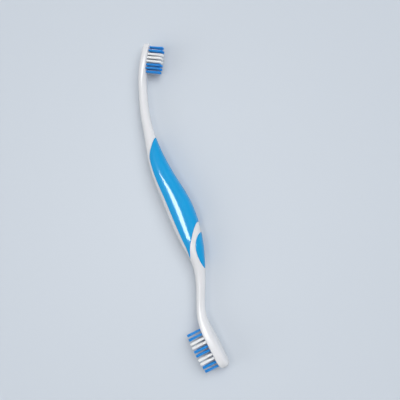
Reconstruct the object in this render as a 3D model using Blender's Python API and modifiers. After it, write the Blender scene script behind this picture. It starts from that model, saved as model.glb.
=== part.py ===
"""Double-ended pet toothbrush, lying on its side.

A rigid white moulding carries a large brush head at one end and a small one at the other,
on opposite sides. Two soft blue mouldings fill recesses in its thick handle, and each tuft
of bristles stands in a blind hole of its own.

The long axis is X, with the small head at +X. The brush is the same on both sides of the
plane half way up, so the S of its handle lies in the XY plane. Z is up, and the handle
rests on the flat of its grip at Z = 0. Lengths below are in millimetres.
"""

import math

import bmesh
import bpy
import numpy as np
from mathutils import Matrix, Vector

MM = 0.001

# The middle of the whole brush's box, in the coordinates that its stations are given in.
MIDDLE_X = -0.70
MIDDLE_Y = 4.67

# White moulding: stations along the handle, from the large head's tip to the small one's.
# x, y of the centre line, thickness in the plane of the S, width across it, and how square
# the section is on its +Y and -Y sides (2 is an ellipse, 7 is nearly flat).
STATIONS = (
    (-111.3, -1.5, 5.7, 12.0, 7.0, 2.8),
    (-104.0, 0.4, 6.2, 12.7, 7.0, 2.8),
    (-94.0, 2.9, 6.4, 13.0, 7.0, 2.8),
    (-85.0, 5.3, 6.4, 11.8, 6.0, 2.6),
    (-77.0, 6.6, 6.2, 8.6, 3.2, 2.2),
    (-70.0, 6.1, 5.8, 6.5, 2.2, 2.0),
    (-60.0, 3.75, 6.0, 6.4, 2.0, 2.0),
    (-50.0, 1.6, 6.9, 7.2, 2.0, 2.0),
    (-42.0, 0.6, 8.4, 8.8, 2.1, 2.1),
    (-34.0, 0.7, 11.5, 11.0, 2.2, 2.2),
    (-24.0, 1.6, 15.2, 13.2, 2.3, 2.3),
    (-12.0, 3.1, 17.5, 14.7, 2.3, 2.3),
    (-2.0, 4.7, 17.8, 15.0, 2.3, 2.3),
    (8.0, 7.0, 16.4, 14.6, 2.3, 2.3),
    (20.0, 10.1, 14.2, 13.4, 2.3, 2.3),
    (32.0, 12.3, 11.8, 11.6, 2.2, 2.2),
    (44.0, 13.2, 8.6, 9.0, 2.1, 2.1),
    (54.0, 13.4, 6.9, 7.3, 2.0, 2.0),
    (66.0, 13.0, 6.3, 6.4, 2.0, 2.0),
    (80.0, 10.9, 5.8, 6.0, 2.0, 2.0),
    (90.0, 8.8, 5.7, 6.9, 2.0, 2.6),
    (97.0, 6.25, 5.3, 8.9, 2.4, 5.0),
    (104.0, 3.0, 4.9, 10.0, 2.8, 7.0),
    (111.0, -0.35, 4.6, 9.6, 2.8, 7.0),
)
SIDE_FLAT = 7.15         # height of the flats on both sides of the handle, from its middle
LARGE_TIP_EDGE = 1.8     # length over which the large head's tip rounds off, seen from the side
SMALL_TIP_EDGE = 1.2     # the same for the small head, which is blunter
LARGE_TIP_ROUND = 6.0    # length over which the large head rounds off, seen from the front
SMALL_TIP_ROUND = 4.6    # the same for the small head
TIP_SQUARENESS = 2.2     # how square a head's rounded end is, seen from the front
TIP_ROWS = (0.12, 0.5, 1.1, 2.1)  # sections near a tip; the first is a small flat cap
BODY_ROWS = 66
BODY_SIDES = 24
SLOPE_REACH = 0.05       # the centre line's slope is read over twice this length

# Soft mouldings. Angles go round the section in degrees: 0 is +Y, 90 the side, 180 is -Y.
SOFT_DEPTH = 1.6
GAP = 0.3                # play round and under a soft moulding, and under a tuft
SPINE_EDGE = 55.0        # the grip leaves a white spine up to this angle from +Y
GRIP_TOP = 47.8          # x of the grip's upper point, on the -Y side
GRIP_TOP_SPREAD = 36.0   # how fast the grip widens from that point, degrees per root mm
GRIP_BOTTOM = -36.8      # x of the ends of the grip's two legs
FORK = -15.1             # x where the grip parts into its two legs
FORK_SPREAD = 26.0       # how fast the legs part, degrees per root mm
LEG_TIP = 8.0            # length over which a leg narrows to its end
LEG_LEAN = 0.25          # how fast a leg's outer edge runs on to the spine
LEG_LEAN_START = -28.0
PAD_MIDDLE = -33.35      # the thumb pad is a leaf round this x, on the -Y side
PAD_HALF_LENGTH = 11.25
PAD_HALF_ANGLE = 73.0
EDGE_BLEND = 10.0        # how sharply the grip's edge turns from the spine to its point
LEG_ROWS = 12            # stations of the legs, of the rest of the grip, and of the pad
GRIP_ROWS = 21
PAD_ROWS = 12
PATCH_COLUMNS = {"main_grip": 9, "thumb_pad": 6}
CUT_PROUD = 1.0          # a cutter stands this far out of the surface

# Tufts: rows run from a head's tip to its neck, and a slope is that of the line of the tips.
HOLE_DEPTH = 3.0
HOLE_PLAY = 0.15         # round a tuft in its hole
TUFT_SIDES = 8
TUFT_FLARE = 1.12        # a tuft's radius at its tip, as a share of the one at its root
TUFT_TIP_ROUND = 0.35    # width of the bevel round a tuft's tip
LARGE_HEAD = {
    "name": "large_head", "side": 1.0, "first_x": -108.3, "row_step": 2.9, "column_step": 2.6,
    "slope": 14.5, "radius": 0.8, "length": 11.0,
    "rows": (2, 3, 4, 4, 4, 4, 4, 4, 3, 2), "colours": "BBWWBBWWBB",
}
SMALL_HEAD = {
    "name": "small_head", "side": -1.0, "first_x": 108.9, "row_step": -2.35, "column_step": 2.5,
    "slope": -20.5, "radius": 0.75, "length": 9.1,
    "rows": (2, 3, 3, 3, 3, 3, 3, 2), "colours": "BBWWWBBB",
}

MERGE = 0.00001          # metres
FACE_TRIES = 8           # steps towards the point of a face that is level with a row
SHARP_ANGLE = 40.0       # edges sharper than this many degrees are not smoothed


def smooth_curve(x, values):
    """The natural cubic spline through the values at x, as a function."""
    count = len(x)
    step = np.diff(x)
    matrix = np.eye(count)
    right = np.zeros(count)
    for i in range(1, count - 1):
        matrix[i, i - 1:i + 2] = step[i - 1], 2 * (step[i - 1] + step[i]), step[i]
        right[i] = 6 * ((values[i + 1] - values[i]) / step[i]
                        - (values[i] - values[i - 1]) / step[i - 1])
    bend = np.linalg.solve(matrix, right)

    def curve(at):
        i = int(np.clip(np.searchsorted(x, at) - 1, 0, count - 2))
        after, before = x[i + 1] - at, at - x[i]
        return ((bend[i] * after ** 3 + bend[i + 1] * before ** 3) / (6 * step[i])
                + (values[i] / step[i] - bend[i] * step[i] / 6) * after
                + (values[i + 1] / step[i] - bend[i + 1] * step[i] / 6) * before)
    return curve


TABLE = np.array(STATIONS)
LARGE_TIP_X = TABLE[0, 0]
SMALL_TIP_X = TABLE[-1, 0]
CENTRE, THICKNESS, WIDTH, SQUARE_PLUS, SQUARE_MINUS = (
    smooth_curve(TABLE[:, 0], TABLE[:, column]) for column in range(1, 6))


def nose(distance, length, power=2.0):
    """How much of the full size is left at a distance from a rounded end."""
    if distance >= length:
        return 1.0
    return (1 - ((length - max(distance, 0.0)) / length) ** power) ** (1 / power)


def slope_at(x):
    """Slope of the centre line, in radians."""
    return math.atan2(CENTRE(x + SLOPE_REACH) - CENTRE(x - SLOPE_REACH), 2 * SLOPE_REACH)


def skin(x, degrees):
    """The point of the brush's outer surface at a station and an angle round it, in metres."""
    slope = slope_at(x)
    from_large = (x - LARGE_TIP_X) / math.cos(slope)
    from_small = (SMALL_TIP_X - x) / math.cos(slope)
    tip, rounding, edge = min((from_large, LARGE_TIP_ROUND, LARGE_TIP_EDGE),
                              (from_small, SMALL_TIP_ROUND, SMALL_TIP_EDGE))
    half_thickness = THICKNESS(x) / 2 * nose(tip, edge)
    half_width = WIDTH(x) / 2 * nose(tip, rounding, TIP_SQUARENESS)
    along_y = math.cos(math.radians(degrees))
    along_z = math.sin(math.radians(degrees))
    power = 2 / (SQUARE_PLUS(x) if along_y > 0 else SQUARE_MINUS(x))
    y = half_thickness * math.copysign(abs(along_y) ** power, along_y)
    z = half_width * math.copysign(abs(along_z) ** power, along_z)
    z = min(max(z, -SIDE_FLAT), SIDE_FLAT)
    return Vector((x - math.sin(slope) * y, CENTRE(x) + math.cos(slope) * y, z)) * MM


def spread(start, end, count):
    """Places from start to end, closer together near both ends."""
    turn = np.linspace(0, math.pi, count)
    return start + (end - start) * (1 - np.cos(turn)) / 2


def remove_everything():
    """Leave nothing of a previous scene."""
    for thing in list(bpy.data.objects):
        bpy.data.objects.remove(thing, do_unlink=True)


def make_collection(name):
    """A new collection in the scene."""
    collection = bpy.data.collections.new(name)
    bpy.context.scene.collection.children.link(collection)
    return collection


def make_material(name, colour, roughness):
    """A Principled material of one colour."""
    material = bpy.data.materials.new(name)
    material.use_nodes = True
    shader = material.node_tree.nodes["Principled BSDF"]
    shader.inputs["Base Color"].default_value = (*colour, 1.0)
    shader.inputs["Roughness"].default_value = roughness
    shader.inputs["Metallic"].default_value = 0.0
    return material


def make_object(name, mesh, collection, parent, material=None):
    """Put a bmesh into a new object and free it."""
    data = bpy.data.meshes.new(name)
    mesh.to_mesh(data)
    mesh.free()
    piece = bpy.data.objects.new(name, data)
    collection.objects.link(piece)
    piece.parent = parent
    if material:
        data.materials.append(material)
        data.shade_smooth()
        data.set_sharp_from_angle(angle=math.radians(SHARP_ANGLE))
    else:
        piece.hide_render = True
        piece.display_type = "WIRE"
    return piece


def make_body(collection, parent, material):
    """The white moulding: a loft of unlike sections from tip to tip."""
    rows = [LARGE_TIP_X + inward for inward in TIP_ROWS]
    rows += [SMALL_TIP_X - inward for inward in TIP_ROWS]
    rows += list(np.linspace(LARGE_TIP_X, SMALL_TIP_X, BODY_ROWS)[1:-1])
    mesh = bmesh.new()
    rings = []
    for x in sorted(rows):
        angles = np.linspace(0, 360, BODY_SIDES, endpoint=False)
        rings.append([mesh.verts.new(skin(x, degrees)) for degrees in angles])
    for ring, following in zip(rings, rings[1:]):
        for k in range(BODY_SIDES):
            after = (k + 1) % BODY_SIDES
            mesh.faces.new((ring[k], ring[after], following[after], following[k]))
    mesh.faces.new(rings[0])
    mesh.faces.new(rings[-1])
    bmesh.ops.recalc_face_normals(mesh, faces=mesh.faces)
    return make_object("brush_body", mesh, collection, parent, material)


def turn_for(x, distance):
    """The angle round the section at x that a distance on its surface takes."""
    return math.degrees(distance / (THICKNESS(x) / 2))


def grip_outer_edge(x):
    """Angle of the grip's edge along the white spine."""
    top = 180 - GRIP_TOP_SPREAD * math.sqrt(max(GRIP_TOP - x, 0.0))
    blended = (SPINE_EDGE ** EDGE_BLEND + max(top, 1.0) ** EDGE_BLEND) ** (1 / EDGE_BLEND)
    return min(blended, 180.0) - LEG_LEAN * max(LEG_LEAN_START - x, 0.0) ** 2


def grip_inner_edge(x):
    """Angle of the grip's other edge: the -Y side, or the inner edge of a leg."""
    if x >= FORK:
        return 180.0
    outer = grip_outer_edge(x)
    full = 180 - FORK_SPREAD * math.sqrt(FORK - x) - outer
    return outer + full * nose(x - GRIP_BOTTOM, LEG_TIP)


def grip_edges(x, grow):
    """Both edges of the grip's half at x, moved out by grow."""
    turn = turn_for(x, grow)
    return grip_outer_edge(x - grow) - turn, min(grip_inner_edge(x + grow) + turn, 180.0)


def grip_rows(grow):
    """Stations of the grip, closer together at its ends and where it forks; its top is blunt."""
    legs = spread(GRIP_BOTTOM - grow, FORK - grow, LEG_ROWS)
    to_top = np.linspace(1, 0, GRIP_ROWS)[1:-1] ** 2
    return [*legs, *(GRIP_TOP + grow - (GRIP_TOP - FORK + 2 * grow) * to_top)]


def pad_edges(x, grow):
    """Edges of the thumb pad's half at x: a leaf round the -Y side."""
    share = min(abs(x - PAD_MIDDLE) / (PAD_HALF_LENGTH + grow), 1.0)
    return 180 - (PAD_HALF_ANGLE + turn_for(x, grow)) * math.sqrt(1 - share ** 2), 180.0


def pad_rows(grow):
    """Stations of the thumb pad."""
    reach = PAD_HALF_LENGTH + grow
    return spread(PAD_MIDDLE - reach, PAD_MIDDLE + reach, PAD_ROWS)


def make_patch(name, rows, edges, grow):
    """One half of a soft moulding's outer surface, open at the plane z = 0, as a bmesh."""
    mesh = bmesh.new()
    grid = []
    for x in rows:
        start, end = edges(x, grow)
        angles = np.linspace(start, end, PATCH_COLUMNS[name])
        grid.append([mesh.verts.new(skin(x, degrees)) for degrees in angles])
    for row, following in zip(grid, grid[1:]):
        for k in range(len(row) - 1):
            mesh.faces.new((row[k], row[k + 1], following[k + 1], following[k]))
    bmesh.ops.remove_doubles(mesh, verts=mesh.verts, dist=MERGE)
    return mesh


def add_thickness(piece, proud, depth):
    """Mirror a half patch and thicken it, proud of the surface and into it."""
    mirror = piece.modifiers.new("both sides", "MIRROR")
    mirror.use_axis = (False, False, True)
    mirror.merge_threshold = MERGE
    solidify = piece.modifiers.new("thickness", "SOLIDIFY")
    solidify.thickness = (proud + depth) * MM
    solidify.offset = (proud - depth) / (proud + depth)


def cut(piece, cutter, name):
    """Take a cutter out of a piece."""
    boolean = piece.modifiers.new(name, "BOOLEAN")
    boolean.operation = "DIFFERENCE"
    boolean.solver = "EXACT"
    boolean.object = cutter


def make_soft_moulding(name, rows, edges, body, collections, parent, material):
    """A soft moulding and its recess in the body."""
    pieces, cutters = collections
    moulding = make_object(name, make_patch(name, rows(0.0), edges, 0.0), pieces, parent, material)
    add_thickness(moulding, 0.0, SOFT_DEPTH)
    recess = make_object(f"{name}_recess", make_patch(name, rows(GAP), edges, GAP), cutters, parent)
    add_thickness(recess, CUT_PROUD, SOFT_DEPTH + GAP)
    cut(body, recess, f"recess for {name}")


def face_level_with(head, target, row_direction):
    """The point of a head's face that lies level with a point of its row line."""
    degrees = 0 if head["side"] > 0 else 180
    x = target.x / MM
    for _ in range(FACE_TRIES):
        x += (target - skin(x, degrees)).dot(row_direction) / MM
    return skin(x, degrees)


def tuft_places(head):
    """For each tuft of a head: its name, colour, the depth of the face and its place."""
    slope = math.radians(head["slope"])
    row_direction = Vector((math.cos(slope), math.sin(slope), 0))
    direction = Vector((-math.sin(slope), math.cos(slope), 0)) * head["side"]
    start = skin(head["first_x"], 0 if head["side"] > 0 else 180)
    for row, count in enumerate(head["rows"]):
        on_line = start + row_direction * head["row_step"] * MM * row
        face = (face_level_with(head, on_line, row_direction) - on_line).dot(direction)
        for column in range(count):
            across = (column - (count - 1) / 2) * head["column_step"] * MM
            name = f"{head['name']}_tuft_{row + 1:02d}_{'abcd'[column]}"
            place = on_line + Vector((0, 0, across))
            yield name, head["colours"][row], face, place, direction


def add_rod(mesh, place, direction, reach, radii):
    """Add a closed round rod between two distances from a place along a direction."""
    low, high = reach
    middle = Matrix.Translation(place + direction * (low + high) / 2)
    turned = direction.to_track_quat("Z", "Y").to_matrix().to_4x4()
    bmesh.ops.create_cone(mesh, cap_ends=True, segments=TUFT_SIDES, radius1=radii[0] * MM,
                          radius2=radii[1] * MM, depth=high - low, matrix=middle @ turned)


def round_tip(mesh, tip, direction):
    """Round the rim at the far end of the one rod in a mesh."""
    rim = [edge for edge in mesh.edges
           if all(abs((end.co - tip).dot(direction)) < MERGE for end in edge.verts)]
    bmesh.ops.bevel(mesh, geom=rim, offset=TUFT_TIP_ROUND * MM, segments=1, affect="EDGES")


def make_tufts(head, materials, body, collections, parent):
    """All tufts of a head, each an object, and one cutter for their holes."""
    pieces, cutters = collections
    holes = bmesh.new()
    radius = head["radius"]
    for name, colour, face, place, direction in tuft_places(head):
        bottom = face - HOLE_DEPTH * MM
        mesh = bmesh.new()
        length = head["length"] * MM
        add_rod(mesh, place, direction, (bottom + GAP * MM, length), (radius, radius * TUFT_FLARE))
        round_tip(mesh, place + direction * length, direction)
        make_object(name, mesh, pieces, parent, materials[colour])
        wide = radius + HOLE_PLAY
        add_rod(holes, place, direction, (bottom, face + CUT_PROUD * MM), (wide, wide))
    cutter = make_object(f"{head['name']}_holes", holes, cutters, parent)
    cut(body, cutter, f"holes of {head['name']}")


def main():
    """Build the whole brush."""
    remove_everything()
    collections = make_collection("pet_toothbrush"), make_collection("cutters")
    parent = bpy.data.objects.new("brush_middle", None)
    parent.location = (-MIDDLE_X * MM, -MIDDLE_Y * MM, SIDE_FLAT * MM)
    collections[0].objects.link(parent)
    white_plastic = make_material("white_plastic", (0.80, 0.81, 0.82), 0.30)
    blue_rubber = make_material("blue_rubber", (0.01, 0.30, 0.75), 0.38)
    bristles = {"B": make_material("blue_nylon", (0.02, 0.16, 0.62), 0.35),
                "W": make_material("white_nylon", (0.85, 0.88, 0.90), 0.30)}
    body = make_body(collections[0], parent, white_plastic)
    make_soft_moulding("main_grip", grip_rows, grip_edges, body, collections, parent, blue_rubber)
    make_soft_moulding("thumb_pad", pad_rows, pad_edges, body, collections, parent, blue_rubber)
    for head in (LARGE_HEAD, SMALL_HEAD):
        make_tufts(head, bristles, body, collections, parent)


main()
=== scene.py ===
"""Double-ended pet toothbrush: the finished pieces, modelled round the packed CAD frame.

A white moulding carries a large and a small brush head, two soft blue mouldings are let into
its thick handle, and each tuft of nylon filaments stands in a hole of its own, held there by
a metal anchor. The brush lies on its side: X runs along it towards the small head, Z is up,
and it is the same on both sides of the plane half way up. Lengths are millimetres in the
tables, and metres in the settings and on the stage.
"""

import math
import random

import bmesh
import bpy
import numpy as np
from bpy.props import FloatProperty, FloatVectorProperty, IntProperty, PointerProperty
from bpy.types import Operator, Panel, PropertyGroup
from mathutils import Matrix, Vector


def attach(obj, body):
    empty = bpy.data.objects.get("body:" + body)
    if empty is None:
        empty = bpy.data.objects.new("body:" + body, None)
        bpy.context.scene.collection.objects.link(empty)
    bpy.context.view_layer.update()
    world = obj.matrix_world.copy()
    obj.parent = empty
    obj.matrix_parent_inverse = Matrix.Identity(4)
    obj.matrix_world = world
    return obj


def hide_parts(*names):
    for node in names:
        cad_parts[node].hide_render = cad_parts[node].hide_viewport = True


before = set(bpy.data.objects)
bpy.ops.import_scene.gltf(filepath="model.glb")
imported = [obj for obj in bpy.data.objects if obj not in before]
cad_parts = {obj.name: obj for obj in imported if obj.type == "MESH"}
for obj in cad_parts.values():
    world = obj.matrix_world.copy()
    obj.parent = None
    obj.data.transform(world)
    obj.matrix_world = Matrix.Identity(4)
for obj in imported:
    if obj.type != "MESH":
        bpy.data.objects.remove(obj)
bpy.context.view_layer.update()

bl_info = {
    "name": "Pet toothbrush",
    "version": (1, 0, 0),
    "blender": (4, 5, 0),
    "location": "3D Viewport > Sidebar > Toothbrush",
    "description": "Models a double-ended pet toothbrush round its CAD frame",
    "category": "Add Mesh",
}

MM = 0.001
UP = Vector((0, 0, 1))
BODY = "root"

# The middle of the whole brush's box, in the coordinates that the stations are given in.
MIDDLE_X = -0.70
MIDDLE_Y = 4.67
# Stations of the moulding, from the large head's tip to the small one's: x, y of the centre
# line, thickness in the plane of the S, width across it, and how square the section is on
# its +Y and -Y sides (2 is an ellipse, 7 is nearly flat).
STATIONS = np.array((
    (-111.3, -1.5, 5.7, 12.0, 7.0, 2.8),
    (-104.0, 0.4, 6.2, 12.7, 7.0, 2.8),
    (-94.0, 2.9, 6.4, 13.0, 7.0, 2.8),
    (-85.0, 5.3, 6.4, 11.8, 6.0, 2.6),
    (-77.0, 6.6, 6.2, 8.6, 3.2, 2.2),
    (-70.0, 6.1, 5.8, 6.5, 2.2, 2.0),
    (-60.0, 3.75, 6.0, 6.4, 2.0, 2.0),
    (-50.0, 1.6, 6.9, 7.2, 2.0, 2.0),
    (-42.0, 0.6, 8.4, 8.8, 2.1, 2.1),
    (-34.0, 0.7, 11.5, 11.0, 2.2, 2.2),
    (-24.0, 1.6, 15.2, 13.2, 2.3, 2.3),
    (-12.0, 3.1, 17.5, 14.7, 2.3, 2.3),
    (-2.0, 4.7, 17.8, 15.0, 2.3, 2.3),
    (8.0, 7.0, 16.4, 14.6, 2.3, 2.3),
    (20.0, 10.1, 14.2, 13.4, 2.3, 2.3),
    (32.0, 12.3, 11.8, 11.6, 2.2, 2.2),
    (44.0, 13.2, 8.6, 9.0, 2.1, 2.1),
    (54.0, 13.4, 6.9, 7.3, 2.0, 2.0),
    (66.0, 13.0, 6.3, 6.4, 2.0, 2.0),
    (80.0, 10.9, 5.8, 6.0, 2.0, 2.0),
    (90.0, 8.8, 5.7, 6.9, 2.0, 2.6),
    (97.0, 6.25, 5.3, 8.9, 2.4, 5.0),
    (104.0, 3.0, 4.9, 10.0, 2.8, 7.0),
    (111.0, -0.35, 4.6, 9.6, 2.8, 7.0),
))
LARGE_TIP_X, SMALL_TIP_X = STATIONS[0, 0], STATIONS[-1, 0]
SIDE_TOP = 7.15          # half the handle's greatest width
WIDEST = 7.5             # half the widest section, before it is pressed in to that
LARGE_TIP_EDGE = 1.8     # length over which the large head's tip rounds off, seen from the side
SMALL_TIP_EDGE = 1.2     # the same for the small head, which is blunter
LARGE_TIP_ROUND = 6.0    # length over which the large head rounds off, seen from the front
SMALL_TIP_ROUND = 4.6    # the same for the small head
TIP_SQUARENESS = 2.2     # how square the tips are from the front; 2 is an ellipse
TIP_RINGS = (0.03, 0.12, 0.3, 0.6, 1.0)  # rings near a tip, as distances from it
SLOPE_REACH = 0.05       # how far to each side the centre line's slope is read

# Soft mouldings. Angles go round the section in degrees: 0 is +Y, 90 the side, 180 is -Y.
SPINE_EDGE = 55.0        # the grip leaves a white spine up to this angle from +Y
GRIP_TOP = 47.8          # x of the grip's upper point, on the -Y side
GRIP_TOP_SPREAD = 36.0   # how fast the grip widens from that point, degrees per root mm
GRIP_BOTTOM = -36.8      # x of the ends of the grip's two legs
FORK = -15.1             # x where the grip parts into its two legs
FORK_SPREAD = 26.0       # how fast the legs part, degrees per root mm
LEG_TIP = 8.0            # length over which a leg narrows to its end
LEG_LEAN = 0.25          # how fast a leg's outer edge runs on to the spine
LEG_LEAN_START = -28.0   # x where it begins to
EDGE_BLEND = 10.0        # how sharply the grip's edge turns from the spine to its point
PAD_MIDDLE = -33.35      # the thumb pad is a leaf round this x, on the -Y side
PAD_HALF_LENGTH = 11.25
PAD_HALF_ANGLE = 73.0
MERGE_GAP = 0.002        # points of a soft moulding that are this close become one
CUTTER_PROUD = 1.0       # how far a recess's cutter stands out of the skin

# The heads: the angle of the bristles from +X, the tufts of each row from the tip to the neck,
# and the rows that are white.
HEADS = {
    "large_head": {"lean": 104.5, "rows": (2, 3, 4, 4, 4, 4, 4, 4, 3, 2), "white": (3, 4, 7, 8)},
    "small_head": {"lean": -110.5, "rows": (2, 3, 3, 3, 3, 3, 3, 2), "white": (3, 4, 5)},
}
COLUMNS = "abcd"         # a tuft's letter in its row
ROOT_SLICE = 0.1         # a tuft's root radius is read from the points this close to its root
HOLE_REACH = 4.4         # how far above a tuft's root the rod that cuts its hole ends
HOLE_SIDES = 20          # sides of that rod
FILAMENT_MODEL = 14.0    # length of the filament that is modelled, before a tuft gives it its own
FILAMENT_PARTS = 6       # lengths that it is drawn up in
FILAMENT_SIDES = 6
FILAMENT_EDGE = 0.6      # rounding of a filament's tip, as a share of its radius
FLARE_POWER = 1.6        # a tuft widens with this power of the height, so most near its tip
BEND_POWER = 2           # and bends with this one
HONEYCOMB_RISE = math.sqrt(0.75)  # distance between a honeycomb's rows, as a share of its pitch
ANCHOR_SIZE = (1.5, 0.26, 1.1)    # across the head, along it and along the bristles
ANCHOR_EDGE = 0.06       # bevel of an anchor's edges

# Edges that turn by more than these angles, in degrees, stay sharp.
MOULDING_CREASE = 38.0
SOFT_CREASE = 50.0
ANCHOR_CREASE = 40.0

# The stage. The camera rolls by an angle in degrees, from upright to the brush's length.
KEY_TURN = (math.radians(35), 0.0, math.radians(25))
FILL_TURN = (math.radians(-64), 0.0, 0.0)
SUN_SOFTNESS = math.radians(45)
STRIP_WIDTH, STRIP_LENGTH = 0.16, 0.28
STRIP_PLACE = (0.02, 0.143, 0.62)
SKY_COLOUR = (0.95, 0.97, 1, 1)
CAMERA_PLACE = (-0.0317, -0.1493, 0.5205)
CAMERA_TARGET = (0.00036, -0.01508, 0.00715)
CAMERA_ROLL = 90.375


class MouldingSettings(PropertyGroup):
    """Sizes of the white moulding."""
    ring_step: FloatProperty(name="Ring step", description="Distance between the rings that the "
                             "moulding is drawn out from", default=0.0013, unit="LENGTH")
    ring_sides: IntProperty(name="Ring sides", description="Vertices of each ring", default=40)
    seam: FloatProperty(name="Seam", description="Gap between the white and the soft mouldings",
                        default=0.00006, unit="LENGTH")
    recess_rows: IntProperty(name="Recess rows", description="Stations along the recess for the "
                             "main grip", default=90)
    recess_columns: IntProperty(name="Recess columns", description="Points across half a recess",
                                default=16)
    hole_depth: FloatProperty(name="Hole depth", description="Depth of a tuft's hole below the "
                              "tuft's root", default=0.0003, unit="LENGTH")
    hole_play: FloatProperty(name="Hole play", description="Gap round a tuft in its hole",
                             default=0.00003, unit="LENGTH")


class SoftSettings(PropertyGroup):
    """Sizes of the two soft mouldings."""
    depth: FloatProperty(name="Depth", description="Thickness of a soft moulding",
                         default=0.0016, unit="LENGTH")
    edge_round: FloatProperty(name="Edge rounding", description="Radius of a soft moulding's rim",
                              default=0.00032, unit="LENGTH")
    rows: IntProperty(name="Rows", description="Stations along the main grip", default=120)
    columns: IntProperty(name="Columns", description="Points across half a soft moulding",
                         default=34)


class BristleSettings(PropertyGroup):
    """Sizes of the tufts."""
    filament: FloatProperty(name="Filament", description="Diameter of a nylon filament",
                            default=0.00019, unit="LENGTH")
    pitch: FloatProperty(name="Pitch", description="Distance between filaments at their roots",
                         default=0.000212, unit="LENGTH")
    flare: FloatProperty(name="Flare", description="How much wider a tuft is at its tip",
                         default=0.22, subtype="FACTOR")
    unevenness: FloatProperty(name="Unevenness", description="Greatest difference in length of "
                              "a tuft's filaments", default=0.00025, unit="LENGTH")
    anchor_room: FloatProperty(name="Anchor room", description="Height above a tuft's CAD root "
                               "that its anchor takes up", default=0.00125, unit="LENGTH")
    lean: FloatProperty(name="Lean", description="How far a tuft's tip usually stands out of line",
                        default=0.00013, unit="LENGTH")
    stray: FloatProperty(name="Stray", description="How far a filament's tip usually stands out "
                         "of its tuft's line", default=0.000072, unit="LENGTH")
    seed: IntProperty(name="Seed", description="Starts the draws that vary the tufts", default=7)


class ColourSettings(PropertyGroup):
    """Colours of the pieces and of the stage."""
    white: FloatVectorProperty(name="White moulding", description="Colour of the hard plastic",
                               default=(0.735, 0.74, 0.76), subtype="COLOR")
    soft: FloatVectorProperty(name="Soft mouldings", description="Colour of the soft grip",
                              default=(0.0, 0.33, 0.70), subtype="COLOR")
    blue: FloatVectorProperty(name="Blue bristles", description="Colour of the blue nylon",
                              default=(0.0, 0.30, 0.80), subtype="COLOR")
    # The white nylon itself is white; its faint cool tint is a painted reflection of blue
    # surroundings.
    clear: FloatVectorProperty(name="White bristles", description="Colour of the white nylon",
                               default=(0.98, 0.995, 1.0), subtype="COLOR")
    metal: FloatVectorProperty(name="Anchors", description="Colour of the anchors' metal",
                               default=(0.62, 0.58, 0.50), subtype="COLOR")
    floor: FloatVectorProperty(name="Floor", description="Colour of the floor",
                               default=(0.56, 0.61, 0.67), subtype="COLOR")


class StageSettings(PropertyGroup):
    """Sizes of the stage, its lights and its camera."""
    floor_size: FloatProperty(name="Floor size", description="Side of the floor", default=40.0,
                              unit="LENGTH")
    lens: FloatProperty(name="Lens", description="Focal length of the camera", default=72.0,
                        unit="CAMERA")
    key: FloatProperty(name="Key light", description="Strength of the broad soft light",
                       default=2.1)
    fill: FloatProperty(name="Fill light", description="Strength of the soft light from the "
                        "other side", default=0.8)
    strip: FloatProperty(name="Strip light", description="Power of the long narrow light",
                         default=3.2, unit="POWER")
    sky: FloatProperty(name="Sky", description="Brightness of the light from all round",
                       default=0.40)


SETTINGS = {
    "brush_moulding": MouldingSettings,
    "brush_soft": SoftSettings,
    "brush_bristles": BristleSettings,
    "brush_colours": ColourSettings,
    "brush_stage": StageSettings,
}


# The brush's surface.

def smooth_curve(x, values):
    """The natural cubic spline through the values at x, as a function of an array."""
    count = len(x)
    step = np.diff(x)
    matrix = np.eye(count)
    right = np.zeros(count)
    for i in range(1, count - 1):
        matrix[i, i - 1:i + 2] = step[i - 1], 2 * (step[i - 1] + step[i]), step[i]
        right[i] = 6 * ((values[i + 1] - values[i]) / step[i]
                        - (values[i] - values[i - 1]) / step[i - 1])
    bend = np.linalg.solve(matrix, right)

    def curve(at):
        i = np.clip(np.searchsorted(x, at) - 1, 0, count - 2)
        after, before = x[i + 1] - at, at - x[i]
        return ((bend[i] * after ** 3 + bend[i + 1] * before ** 3) / (6 * step[i])
                + (values[i] / step[i] - bend[i] * step[i] / 6) * after
                + (values[i + 1] / step[i] - bend[i + 1] * step[i] / 6) * before)
    return curve


CENTRE, THICKNESS, WIDTH, SQUARE_PLUS, SQUARE_MINUS = (
    smooth_curve(STATIONS[:, 0], STATIONS[:, column]) for column in range(1, 6))


def nose(distance, length, power=2.0):
    """How much of the full size is left at a distance from a rounded end."""
    left = np.clip(1 - distance / length, 0, 1)
    return (1 - left ** power) ** (1 / power)


def pressed_in(z):
    """Bring the widest places in to the handle's greatest half width, and leave them round."""
    return np.clip(z * (1 - (1 - SIDE_TOP / WIDEST) * (z / WIDEST) ** 2), -SIDE_TOP, SIDE_TOP)


def skin(x, degrees):
    """Points of the outer surface at stations and angles round it, in mm from the middle."""
    x, degrees = np.broadcast_arrays(np.asarray(x, float), np.asarray(degrees, float))
    slope = np.arctan2(CENTRE(x + SLOPE_REACH) - CENTRE(x - SLOPE_REACH), 2 * SLOPE_REACH)
    from_large = (x - LARGE_TIP_X) / np.cos(slope)
    from_small = (SMALL_TIP_X - x) / np.cos(slope)
    tip = np.minimum(from_large, from_small)
    to_large = from_large < from_small
    half_thickness = THICKNESS(x) / 2 * nose(tip, np.where(to_large, LARGE_TIP_EDGE,
                                                           SMALL_TIP_EDGE))
    half_width = WIDTH(x) / 2 * nose(tip, np.where(to_large, LARGE_TIP_ROUND, SMALL_TIP_ROUND),
                                     TIP_SQUARENESS)
    along_y, along_z = np.cos(np.radians(degrees)), np.sin(np.radians(degrees))
    power = 2 / np.where(along_y > 0, SQUARE_PLUS(x), SQUARE_MINUS(x))
    y = half_thickness * np.sign(along_y) * np.abs(along_y) ** power
    z = pressed_in(half_width * np.sign(along_z) * np.abs(along_z) ** power)
    return np.stack((x - np.sin(slope) * y - MIDDLE_X,
                     CENTRE(x) + np.cos(slope) * y - MIDDLE_Y, z), axis=-1)


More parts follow.
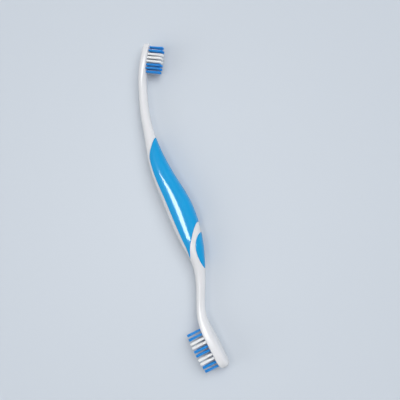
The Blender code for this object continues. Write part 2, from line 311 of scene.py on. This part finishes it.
def turn_for(x, distance):
    """The angle round the section at x that a distance on its surface takes."""
    return np.degrees(distance / (THICKNESS(x) / 2))


def grip_outer_edge(x):
    """Angle of the grip's edge along the white spine."""
    top = 180 - GRIP_TOP_SPREAD * np.sqrt(np.maximum(GRIP_TOP - x, 0.0))
    blended = (SPINE_EDGE ** EDGE_BLEND + np.maximum(top, 1.0) ** EDGE_BLEND) ** (1 / EDGE_BLEND)
    return np.minimum(blended, 180.0) - LEG_LEAN * np.maximum(LEG_LEAN_START - x, 0.0) ** 2


def grip_inner_edge(x):
    """Angle of the grip's other edge: the -Y side, or the inner edge of a leg."""
    outer = grip_outer_edge(x)
    full = 180 - FORK_SPREAD * np.sqrt(np.maximum(FORK - x, 0.0)) - outer
    return np.where(x >= FORK, 180.0, outer + full * nose(x - GRIP_BOTTOM, LEG_TIP))


def grip_edges(x, grow):
    """Both edges of the grip's half at x, moved out by grow."""
    turn = turn_for(x, grow)
    return grip_outer_edge(x - grow) - turn, np.minimum(grip_inner_edge(x + grow) + turn, 180.0)


def grip_rows(count, grow):
    """Stations of the grip, closer together at its ends and where it forks; its top is blunt."""
    on_legs = count // 3
    legs = spread(GRIP_BOTTOM - grow, FORK - grow, on_legs)
    to_top = np.linspace(1, 0, count - on_legs + 2)[1:-1] ** 2
    return np.concatenate((legs, GRIP_TOP + grow - (GRIP_TOP - FORK + 2 * grow) * to_top))


def pad_edges(x, grow):
    """Edges of the thumb pad's half at x: a leaf round the -Y side."""
    share = np.minimum(np.abs(x - PAD_MIDDLE) / (PAD_HALF_LENGTH + grow), 1.0)
    half = (PAD_HALF_ANGLE + turn_for(x, grow)) * np.sqrt(1 - share ** 2)
    return 180 - half, np.full_like(x, 180.0)


def pad_rows(count, grow):
    """Stations of the thumb pad, half as many as the grip's."""
    reach = PAD_HALF_LENGTH + grow
    return spread(PAD_MIDDLE - reach, PAD_MIDDLE + reach, count // 2)


def spread(start, end, count):
    """Places from start to end, closer together near both ends."""
    return start + (end - start) * (1 - np.cos(np.linspace(0, math.pi, count))) / 2


SOFT_MOULDINGS = {"main_grip": (grip_rows, grip_edges), "thumb_pad": (pad_rows, pad_edges)}


# Modelling steps that several pieces share.

def deselect():
    """Select nothing, in object mode."""
    if bpy.context.object and bpy.context.object.mode != "OBJECT":
        bpy.ops.object.mode_set(mode="OBJECT")
    bpy.ops.object.select_all(action="DESELECT")


def only(piece):
    """Make a piece the one that is selected and active."""
    deselect()
    piece.select_set(True)
    bpy.context.view_layer.objects.active = piece


def add_modifier(piece, kind, **values):
    """Give a piece a modifier, set it and apply it."""
    only(piece)
    bpy.ops.object.modifier_add(type=kind)
    modifier = piece.modifiers[-1]
    for name, value in values.items():
        setattr(modifier, name, value)
    bpy.ops.object.modifier_apply(modifier=modifier.name)


def face_normals_out(piece):
    """Turn a closed piece's faces outwards."""
    only(piece)
    bpy.ops.object.mode_set(mode="EDIT")
    bpy.ops.mesh.select_all(action="SELECT")
    bpy.ops.mesh.normals_make_consistent(inside=False)
    bpy.ops.object.mode_set(mode="OBJECT")


def smooth(piece, crease):
    """Shade a piece smooth, but for edges that turn by more than the crease's degrees."""
    only(piece)
    bpy.ops.object.shade_smooth_by_angle(angle=math.radians(crease))


def settle(piece):
    """Put a piece modelled round the brush's middle in its place, with its object at the origin."""
    only(piece)
    bpy.ops.transform.translate(value=(0, 0, SIDE_TOP * MM))
    bpy.ops.object.transform_apply(location=True, rotation=True, scale=True)


def finish_piece(piece, name, material, slot, *nodes):
    """Name a piece, give it its material, attach it to the brush's body and hide the CAD nodes that
    it stands for.
    """
    piece.name = piece.data.name = name
    piece.data.materials.clear()
    piece.data.materials.append(material)
    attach(piece, BODY)
    if nodes:
        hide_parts(*nodes)


def points_of(piece):
    """A piece's vertices as rows of an array."""
    points = np.empty(len(piece.data.vertices) * 3)
    piece.data.vertices.foreach_get("co", points)
    return points.reshape(-1, 3)


def put_points(piece, points):
    """Move a piece's vertices to the rows of an array."""
    piece.data.vertices.foreach_set("co", np.ascontiguousarray(points, float).ravel())
    piece.data.update()


# The white moulding.

def ring_stations(step):
    """Stations of the rings that the moulding is drawn out from, tip to tip."""
    count = round((SMALL_TIP_X - LARGE_TIP_X) * MM / step)
    between = np.linspace(LARGE_TIP_X, SMALL_TIP_X, count)[1:-1]
    rings = [LARGE_TIP_X + inward for inward in TIP_RINGS]
    return sorted([*rings, *between, *(SMALL_TIP_X - inward for inward in TIP_RINGS)])


def draw_out(stations, sides):
    """Draw a disc out into the whole moulding, ring by ring, and put each ring on its skin."""
    deselect()
    bpy.ops.mesh.primitive_circle_add(vertices=sides, radius=MM, fill_type="NGON",
                                      rotation=(0, math.pi / 2, 0))
    bpy.ops.object.transform_apply(rotation=True)
    piece = bpy.context.object
    bpy.ops.object.mode_set(mode="EDIT")
    mesh = bmesh.from_edit_mesh(piece.data)
    turn = mesh.verts.layers.float.new("turn")
    for vertex in mesh.verts:
        vertex[turn] = math.degrees(math.atan2(vertex.co.z, vertex.co.y))
    for number, x in enumerate(stations):
        if number:
            bpy.ops.mesh.extrude_region_move(TRANSFORM_OT_translate={"value": (MM, 0, 0)})
            mesh = bmesh.from_edit_mesh(piece.data)
            turn = mesh.verts.layers.float["turn"]
        ring = [vertex for vertex in mesh.verts if vertex.select]
        for vertex, place in zip(ring, skin(x, [vertex[turn] for vertex in ring])):
            vertex.co = Vector(place) * MM
        bmesh.update_edit_mesh(piece.data)
    face_normals_out(piece)
    return piece


def soft_patch(name, row_count, columns, grow=0.0):
    """A grid laid on the skin over a soft moulding's area, both halves, grown by some mm."""
    rows_of, edges_of = SOFT_MOULDINGS[name]
    rows = rows_of(row_count, grow)
    deselect()
    bpy.ops.mesh.primitive_grid_add(x_subdivisions=columns - 1, y_subdivisions=len(rows) - 1,
                                    size=1)
    piece = bpy.context.object
    flat = points_of(piece)
    across = (1 - np.cos(math.pi * (flat[:, 0] + 0.5))) / 2
    row = np.rint((flat[:, 1] + 0.5) * (len(rows) - 1)).astype(int)
    start, end = edges_of(rows, grow)
    put_points(piece, skin(rows[row], start[row] + (end - start)[row] * across) * MM)
    add_modifier(piece, "MIRROR", use_axis=(False, False, True), merge_threshold=MERGE_GAP * MM)
    add_modifier(piece, "WELD", merge_threshold=MERGE_GAP * MM)
    return piece


def rim_of(piece):
    """The ends of a patch's open edges, as two arrays of points."""
    mesh = bmesh.new()
    mesh.from_mesh(piece.data)
    ends = np.array([[end.co[:] for end in edge.verts] for edge in mesh.edges if edge.is_boundary])
    mesh.free()
    return ends[:, 0], ends[:, 1]


def distance_to_rim(points, rim):
    """Each point's distance to the nearest of a rim's edges."""
    start, end = rim
    along = end - start
    length_squared = (along ** 2).sum(axis=1)
    nearest = np.full(len(points), np.inf)
    for i in range(len(start)):
        share = np.clip(((points - start[i]) @ along[i]) / length_squared[i], 0, 1)
        gap = points - start[i] - share[:, None] * along[i]
        nearest = np.minimum(nearest, (gap ** 2).sum(axis=1))
    return np.sqrt(nearest)


def cut_out(piece, cutter):
    """Take a cutter out of a piece and throw the cutter away."""
    add_modifier(piece, "BOOLEAN", operation="DIFFERENCE", solver="EXACT", object=cutter)
    bpy.data.objects.remove(cutter, do_unlink=True)
    if not piece.data.vertices:
        raise RuntimeError("a cut left nothing of the piece")


def tuft_names(head):
    """Each tuft's name, with its row counted from the head's tip."""
    for row, count in enumerate(HEADS[head]["rows"], 1):
        for column in COLUMNS[:count]:
            yield f"{head}_tuft_{row:02d}_{column}", row


def bristle_direction(head):
    """The way a head's bristles point."""
    lean = math.radians(HEADS[head]["lean"])
    return Vector((math.cos(lean), math.sin(lean), 0))


def tuft_axis(name, direction):
    """Root, tip and root radius of a tuft, read from its CAD node."""
    points = points_of(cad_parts[name])
    across = np.array((-direction.y, direction.x, 0))
    along = points @ np.array(direction)
    aside, up = ((place.min() + place.max()) / 2 for place in (points @ across, points[:, 2]))
    on_axis = Vector(across) * aside + UP * up
    at_root = points[along < along.min() + ROOT_SLICE * MM]
    radius = (at_root[:, 2].max() - at_root[:, 2].min()) / 2
    return on_axis + direction * along.min(), on_axis + direction * along.max(), radius


def standing_along(direction):
    """Rows that turn a shape modelled upright to stand along a direction."""
    return np.array(Matrix((UP, direction.cross(UP), direction)))


def hole_cutter(head, settings):
    """All of a head's holes as one cutter: a round rod for each tuft."""
    direction = bristle_direction(head)
    deselect()
    rods = []
    for name, _ in tuft_names(head):
        root, _, radius = tuft_axis(name, direction)
        low = root - direction * settings.hole_depth
        high = root + direction * MM * HOLE_REACH
        bpy.ops.mesh.primitive_cylinder_add(
            vertices=HOLE_SIDES, radius=radius + settings.hole_play, depth=(high - low).length,
            location=(low + high) / 2, rotation=direction.to_track_quat("Z", "Y").to_euler())
        rods.append(bpy.context.object)
    for rod in rods:
        rod.select_set(True)
    bpy.ops.object.join()
    cutter = bpy.context.object
    bpy.ops.object.transform_apply(location=True, rotation=True, scale=True)
    return cutter


class BRUSH_OT_moulding(Operator):
    """Model the white moulding, with its recesses and the holes for the tufts"""
    bl_idname = "pet_toothbrush.moulding"
    bl_label = "White moulding"

    def execute(self, context):
        settings = context.scene.brush_moulding
        depth = context.scene.brush_soft.depth + settings.seam
        proud = CUTTER_PROUD * MM
        piece = draw_out(ring_stations(settings.ring_step), settings.ring_sides)
        add_modifier(piece, "SUBSURF", levels=1, render_levels=1)
        for name in SOFT_MOULDINGS:
            recess = soft_patch(name, settings.recess_rows, settings.recess_columns,
                                settings.seam / MM)
            add_modifier(recess, "SOLIDIFY", thickness=depth + proud,
                         offset=(proud - depth) / (proud + depth))
            face_normals_out(recess)
            cut_out(piece, recess)
        settle(piece)
        for head in HEADS:
            cut_out(piece, hole_cutter(head, settings))
        smooth(piece, MOULDING_CREASE)
        finish_piece(piece, "white_moulding", white_plastic(context.scene.brush_colours),
                     "body_white", "brush_body")
        return {"FINISHED"}


class BRUSH_OT_soft(Operator):
    """Model the main grip and the thumb pad, with rounded rims"""
    bl_idname = "pet_toothbrush.soft"
    bl_label = "Soft mouldings"

    def execute(self, context):
        settings = context.scene.brush_soft
        material = soft_blue(context.scene.brush_colours)
        for name in SOFT_MOULDINGS:
            piece = soft_patch(name, settings.rows, settings.columns)
            rim = rim_of(piece)
            outer = len(piece.data.vertices)
            add_modifier(piece, "SOLIDIFY", thickness=settings.depth, offset=-1)
            points = points_of(piece)
            inward = points[outer:2 * outer] - points[:outer]
            inward /= np.linalg.norm(inward, axis=1)[:, None]
            radius = settings.edge_round
            near = np.clip(radius - distance_to_rim(points[:outer], rim), 0, radius)
            drop = radius - np.sqrt(radius ** 2 - near ** 2)
            points[:outer] += inward * drop[:, None]
            put_points(piece, points)
            face_normals_out(piece)
            settle(piece)
            smooth(piece, SOFT_CREASE)
            finish_piece(piece, f"{name}_soft", material, "grip_blue", name)
        return {"FINISHED"}


# Tufts and anchors.

def model_filament(radius, length):
    """One upright filament from the origin: a thin rod drawn up in lengths, with a rounded tip."""
    part = length / FILAMENT_PARTS
    deselect()
    bpy.ops.mesh.primitive_cylinder_add(vertices=FILAMENT_SIDES, radius=radius, depth=part,
                                        location=(0, 0, part / 2))
    piece = bpy.context.object
    bpy.ops.object.transform_apply(location=True)
    bpy.ops.object.mode_set(mode="EDIT")
    bpy.ops.mesh.select_mode(type="FACE")
    bpy.ops.mesh.select_all(action="DESELECT")
    mesh = bmesh.from_edit_mesh(piece.data)
    top = max(mesh.faces, key=lambda face: face.calc_center_median().z)
    top.select = True
    bmesh.update_edit_mesh(piece.data)
    for _ in range(FILAMENT_PARTS - 1):
        bpy.ops.mesh.extrude_region_move(TRANSFORM_OT_translate={"value": (0, 0, part)})
    bpy.ops.mesh.bevel(offset=radius * FILAMENT_EDGE, segments=2)
    bpy.ops.object.mode_set(mode="OBJECT")
    return piece


def lattice(radius, pitch, draw):
    """Places of filaments in a round tuft, close together as in honeycomb, turned at random."""
    reach = int(radius / pitch) + 2
    turn = draw.uniform(0, math.pi / 3)
    shift = draw.uniform(-0.5, 0.5) * pitch, draw.uniform(-0.5, 0.5) * pitch
    places = []
    for i in range(-reach, reach + 1):
        for j in range(-reach, reach + 1):
            x = (i + 0.5 * (j % 2)) * pitch + shift[0]
            y = j * pitch * HONEYCOMB_RISE + shift[1]
            if math.hypot(x, y) < radius:
                places.append((x * math.cos(turn) - y * math.sin(turn),
                               x * math.sin(turn) + y * math.cos(turn)))
    return places


def make_tuft(filament, name, head, settings, draw):
    """A copy of the filament for each place in a tuft, bent apart a little towards the tip."""
    direction = bristle_direction(head)
    root, tip, radius = tuft_axis(name, direction)
    length = (tip - root).length
    upright = points_of(filament)
    height = upright[:, 2] / upright[:, 2].max()
    loops = [tuple(face.vertices) for face in filament.data.polygons]
    thin = settings.filament / 2
    lean = draw.gauss(0, settings.lean), draw.gauss(0, settings.lean)
    points, faces, shades, heights = [], [], [], []
    for x, y in lattice(radius - thin, settings.pitch, draw):
        own = length - draw.uniform(0, settings.unevenness)
        stray = draw.gauss(0, settings.stray), draw.gauss(0, settings.stray)
        widening = 1 + settings.flare * height ** FLARE_POWER
        bend = height ** BEND_POWER
        place = np.stack((
            x * widening + (stray[0] + lean[0]) * bend + upright[:, 0],
            y * widening + (stray[1] + lean[1]) * bend + upright[:, 1],
            settings.anchor_room + height * (own - settings.anchor_room)), axis=1)
        first = sum(len(part) for part in points)
        faces += [tuple(first + corner for corner in loop) for loop in loops]
        points.append(place)
        shades += [draw.random()] * len(place)
        heights += list(height)
    data = bpy.data.meshes.new(name)
    placed = np.concatenate(points) @ standing_along(direction) + np.array(root)
    data.from_pydata(placed.tolist(), [], faces)
    for label, values in (("shade", shades), ("height", heights)):
        data.attributes.new(label, "FLOAT", "POINT").data.foreach_set("value", values)
    data.shade_smooth()
    piece = bpy.data.objects.new(name, data)
    bpy.context.scene.collection.objects.link(piece)
    return piece


class BRUSH_OT_tufts(Operator):
    """Model a filament and gather copies of it into the tufts of both heads"""
    bl_idname = "pet_toothbrush.tufts"
    bl_label = "Tufts"

    def execute(self, context):
        settings = context.scene.brush_bristles
        colours = context.scene.brush_colours
        # Both nylons are painted paler towards their tips: painted light on the tips.
        blue = nylon("blue_nylon", colours.blue, painted_tip_light=0.15)
        clear = nylon("white_nylon", colours.clear, painted_tip_light=0.12)
        draw = random.Random(settings.seed)
        filament = model_filament(settings.filament / 2, FILAMENT_MODEL * MM)
        for head in HEADS:
            for name, row in tuft_names(head):
                white = row in HEADS[head]["white"]
                piece = make_tuft(filament, name, head, settings, draw)
                finish_piece(piece, name + "_filaments", clear if white else blue,
                             "bristle_white" if white else "bristle_blue", name)
        bpy.data.objects.remove(filament, do_unlink=True)
        return {"FINISHED"}


class BRUSH_OT_anchors(Operator):
    """Model a metal anchor and copy it to the bottom of each tuft's hole"""
    bl_idname = "pet_toothbrush.anchors"
    bl_label = "Anchors"

    def execute(self, context):
        middle = context.scene.brush_bristles.anchor_room / 2
        metal = anchor_metal(context.scene.brush_colours)
        deselect()
        bpy.ops.mesh.primitive_cube_add(size=MM, scale=ANCHOR_SIZE)
        anchor = bpy.context.object
        bpy.ops.object.transform_apply(scale=True)
        add_modifier(anchor, "BEVEL", width=ANCHOR_EDGE * MM, segments=2)
        smooth(anchor, ANCHOR_CREASE)
        for head in HEADS:
            direction = bristle_direction(head)
            for name, _ in tuft_names(head):
                root, _, _ = tuft_axis(name, direction)
                only(anchor)
                bpy.ops.object.duplicate()
                piece = bpy.context.object
                put_points(piece, points_of(piece) @ standing_along(direction)
                           + np.array(root + direction * middle))
                finish_piece(piece, name.replace("tuft", "anchor"), metal, "anchor_metal")
        bpy.data.objects.remove(anchor, do_unlink=True)
        return {"FINISHED"}


# Materials. Noise scales are lumps to the metre, and a bump's distance is in metres.

# A Mix node's sockets for colours: the share, the two colours and the mixed one.
MIX_SHARE, MIX_FIRST, MIX_SECOND, MIX_RESULT = 0, 6, 7, 2


class Value:
    """A node's output, so that shader maths can be written as an expression."""

    def __init__(self, finish, socket):
        self.finish, self.socket = finish, socket

    def maths(self, operation, first, second):
        """Add a Math node for an operation on two values."""
        return self.finish.node("ShaderNodeMath", {"operation": operation}, {0: first, 1: second})

    def __add__(self, other):
        return self.maths("ADD", self, other)

    def __mul__(self, other):
        return self.maths("MULTIPLY", self, other)

    __radd__, __rmul__ = __add__, __mul__


class Finish:
    """A material whose Principled shader is fed by nodes."""

    def __init__(self, name, **constants):
        self.material = bpy.data.materials.new(name)
        self.material.use_nodes = True
        self.tree = self.material.node_tree
        self.shader = self.tree.nodes["Principled BSDF"]
        for socket, value in constants.items():
            self.shader.inputs[socket.replace("_", " ")].default_value = value

    def node(self, kind, settings=None, inputs=None, output=0):
        """Add a node, set it, then give its sockets their values or links."""
        made = self.tree.nodes.new(kind)
        for name, value in (settings or {}).items():
            setattr(made, name, value)
        for socket, value in (inputs or {}).items():
            self.feed(made.inputs[socket], value)
        return Value(self, made.outputs[output])

    def feed(self, socket, value):
        """Link a value to a socket, or set the socket to it."""
        if isinstance(value, Value):
            self.tree.links.new(value.socket, socket)
        else:
            socket.default_value = value

    def place(self):
        """The object's own coordinates."""
        return self.node("ShaderNodeTexCoord", output="Object")

    def noise(self, scale, detail, stretch=None):
        """A noise from 0 to 1, longer where a share of less than 1 stretches it."""
        where = self.place()
        if stretch:
            where = self.node("ShaderNodeMapping", None, {"Vector": where, "Scale": stretch})
        return self.node("ShaderNodeTexNoise", None,
                         {"Vector": where, "Scale": scale, "Detail": detail}, "Fac")

    def mixed(self, share, first, second):
        """A colour between two others."""
        return self.node("ShaderNodeMix", {"data_type": "RGBA"},
                         {MIX_SHARE: share, MIX_FIRST: (*first, 1), MIX_SECOND: (*second, 1)},
                         MIX_RESULT)

    def vary(self, **values):
        """Feed what changes over the surface to the shader's sockets, by name."""
        for name, value in values.items():
            self.feed(self.shader.inputs[name.replace("_", " ")], value)

    def bump(self, height, strength, distance):
        """Roughen the surface by a height."""
        self.vary(Normal=self.node("ShaderNodeBump", None, {
            "Height": height, "Strength": strength, "Distance": distance}))


def darker(colour, share):
    """A colour brought down to a share of itself."""
    return tuple(part * share for part in colour)


def paler(colour, share):
    """A colour brought up by a share of the way to white."""
    return tuple(part + (1 - part) * share for part in colour)


def white_plastic(colours):
    """Moulded hard plastic: satin, with a faint orange peel and handling marks."""
    finish = Finish("white_plastic", Specular_IOR_Level=0.35)
    cloud = finish.noise(scale=60.0, detail=3.0)
    peel = finish.noise(scale=1400.0, detail=1.0)
    marks = finish.noise(scale=420.0, detail=4.0, stretch=(0.25, 1.0, 1.0))
    finish.vary(Base_Color=finish.mixed(cloud, colours.white, darker(colours.white, share=0.955)),
                Roughness=0.19 + 0.09 * marks + 0.04 * cloud)
    finish.bump(peel + 0.25 * marks, strength=0.22, distance=0.00004)
    return finish.material


def soft_blue(colours):
    """Soft moulded elastomer: close to gloss, with a fine grain."""
    finish = Finish("soft_blue", Specular_IOR_Level=0.1, Coat_Weight=0.7, Coat_Roughness=0.07)
    cloud = finish.noise(scale=45.0, detail=3.0)
    grain = finish.noise(scale=4200.0, detail=2.0)
    finish.vary(Base_Color=finish.mixed(cloud, colours.soft, darker(colours.soft, share=0.90)),
                Roughness=0.27 + 0.09 * grain + 0.05 * cloud)
    finish.bump(grain, strength=0.12, distance=0.00001)
    return finish.material


def nylon(name, colour, painted_tip_light):
    """Nylon filaments, each of its own random shade, and painted paler towards the tip as painted
    light.
    """
    finish = Finish(name, Specular_IOR_Level=0.3)
    shade = finish.node("ShaderNodeAttribute", {"attribute_name": "shade"}, None, "Fac")
    height = finish.node("ShaderNodeAttribute", {"attribute_name": "height"}, None, "Fac")
    # A random tone for each filament, plus painted light that pales the filaments towards their
    # tips.
    share = 0.25 * shade + painted_tip_light * height * height
    finish.vary(Base_Color=finish.mixed(share, colour, paler(colour, share=0.08)),
                Roughness=0.22 + 0.14 * shade)
    finish.bump(finish.noise(scale=9000.0, detail=1.0), strength=0.1, distance=0.00001)
    return finish.material


def anchor_metal(colours):
    """Flat drawn wire, with fine lines along it."""
    finish = Finish("anchor_metal", Metallic=1.0)
    lines = finish.noise(scale=9000.0, detail=2.0, stretch=(1.0, 1.0, 0.1))
    finish.vary(Base_Color=finish.mixed(lines, colours.metal, darker(colours.metal, share=0.8)),
                Roughness=0.25 + 0.2 * lines)
    return finish.material


def pale_floor(colours):
    """A plain matt floor."""
    finish = Finish("pale_floor")
    cloud = finish.noise(scale=3.0, detail=2.0)
    finish.vary(Base_Color=finish.mixed(cloud, colours.floor, darker(colours.floor, share=0.985)),
                Roughness=0.55 + 0.05 * cloud)
    return finish.material


# The stage.

def add_sun(name, strength, turn):
    """A broad soft light from far away, which makes no highlights."""
    bpy.ops.object.light_add(type="SUN", rotation=turn)
    light = bpy.context.object
    light.name = name
    light.data.energy = strength
    light.data.angle = SUN_SOFTNESS
    light.visible_glossy = False


def add_strip(power):
    """A long narrow light over the brush, aimed at it, which makes only highlights."""
    turn = (-Vector(STRIP_PLACE)).to_track_quat("-Z", "X").to_euler()
    bpy.ops.object.light_add(type="AREA", location=STRIP_PLACE, rotation=turn)
    light = bpy.context.object
    light.name = "strip"
    light.data.shape = "RECTANGLE"
    light.data.size = STRIP_WIDTH
    light.data.size_y = STRIP_LENGTH
    light.data.energy = power
    light.visible_diffuse = False


def add_camera(lens):
    """The camera, aimed at the brush and rolled so that the brush stands upright in its view."""
    bpy.ops.object.camera_add(location=CAMERA_PLACE)
    camera = bpy.context.object
    aim = (Vector(CAMERA_TARGET) - Vector(CAMERA_PLACE)).to_track_quat("-Z", "Y")
    roll = Matrix.Rotation(math.radians(-CAMERA_ROLL), 3, "Z")
    camera.rotation_euler = (aim.to_matrix() @ roll).to_euler()
    camera.data.lens = lens
    bpy.context.scene.camera = camera


class BRUSH_OT_stage(Operator):
    """Set the floor, the lights and the camera"""
    bl_idname = "pet_toothbrush.stage"
    bl_label = "Stage"

    def execute(self, context):
        settings = context.scene.brush_stage
        deselect()
        bpy.ops.mesh.primitive_plane_add(size=settings.floor_size)
        floor = bpy.context.object
        floor.name = "floor"
        floor.data.materials.append(pale_floor(context.scene.brush_colours))
        world = bpy.data.worlds.new("soft_sky")
        world.use_nodes = True
        sky = world.node_tree.nodes["Background"]
        sky.inputs["Color"].default_value = SKY_COLOUR
        sky.inputs["Strength"].default_value = settings.sky
        context.scene.world = world
        context.scene.view_settings.view_transform = "Standard"
        add_sun("key", settings.key, KEY_TURN)
        add_sun("fill", settings.fill, FILL_TURN)
        add_strip(settings.strip)
        add_camera(settings.lens)
        return {"FINISHED"}


class BRUSH_PT_panel(Panel):
    """Lists the brush's pieces and their settings in the sidebar"""
    bl_label = "Pet toothbrush"
    bl_idname = "BRUSH_PT_panel"
    bl_space_type = "VIEW_3D"
    bl_region_type = "UI"
    bl_category = "Toothbrush"

    def draw(self, context):
        for operator in OPERATORS:
            self.layout.operator(operator.bl_idname)
        for name, group in SETTINGS.items():
            box = self.layout.box()
            box.label(text=group.__doc__)
            for setting in group.__annotations__:
                box.prop(getattr(context.scene, name), setting)


OPERATORS = (BRUSH_OT_moulding, BRUSH_OT_soft, BRUSH_OT_tufts, BRUSH_OT_anchors, BRUSH_OT_stage)


def register():
    """Register the settings, the operators and the panel."""
    for made in (*SETTINGS.values(), *OPERATORS, BRUSH_PT_panel):
        bpy.utils.register_class(made)
    for name, group in SETTINGS.items():
        setattr(bpy.types.Scene, name, PointerProperty(type=group))


def unregister():
    """Take back what register did."""
    for name in SETTINGS:
        delattr(bpy.types.Scene, name)
    for made in reversed((*SETTINGS.values(), *OPERATORS, BRUSH_PT_panel)):
        bpy.utils.unregister_class(made)


def main():
    """Make every piece and the stage."""
    register()
    bpy.ops.pet_toothbrush.moulding()
    bpy.ops.pet_toothbrush.soft()
    bpy.ops.pet_toothbrush.tufts()
    bpy.ops.pet_toothbrush.anchors()
    bpy.ops.pet_toothbrush.stage()


if __name__ == "__main__":
    main()
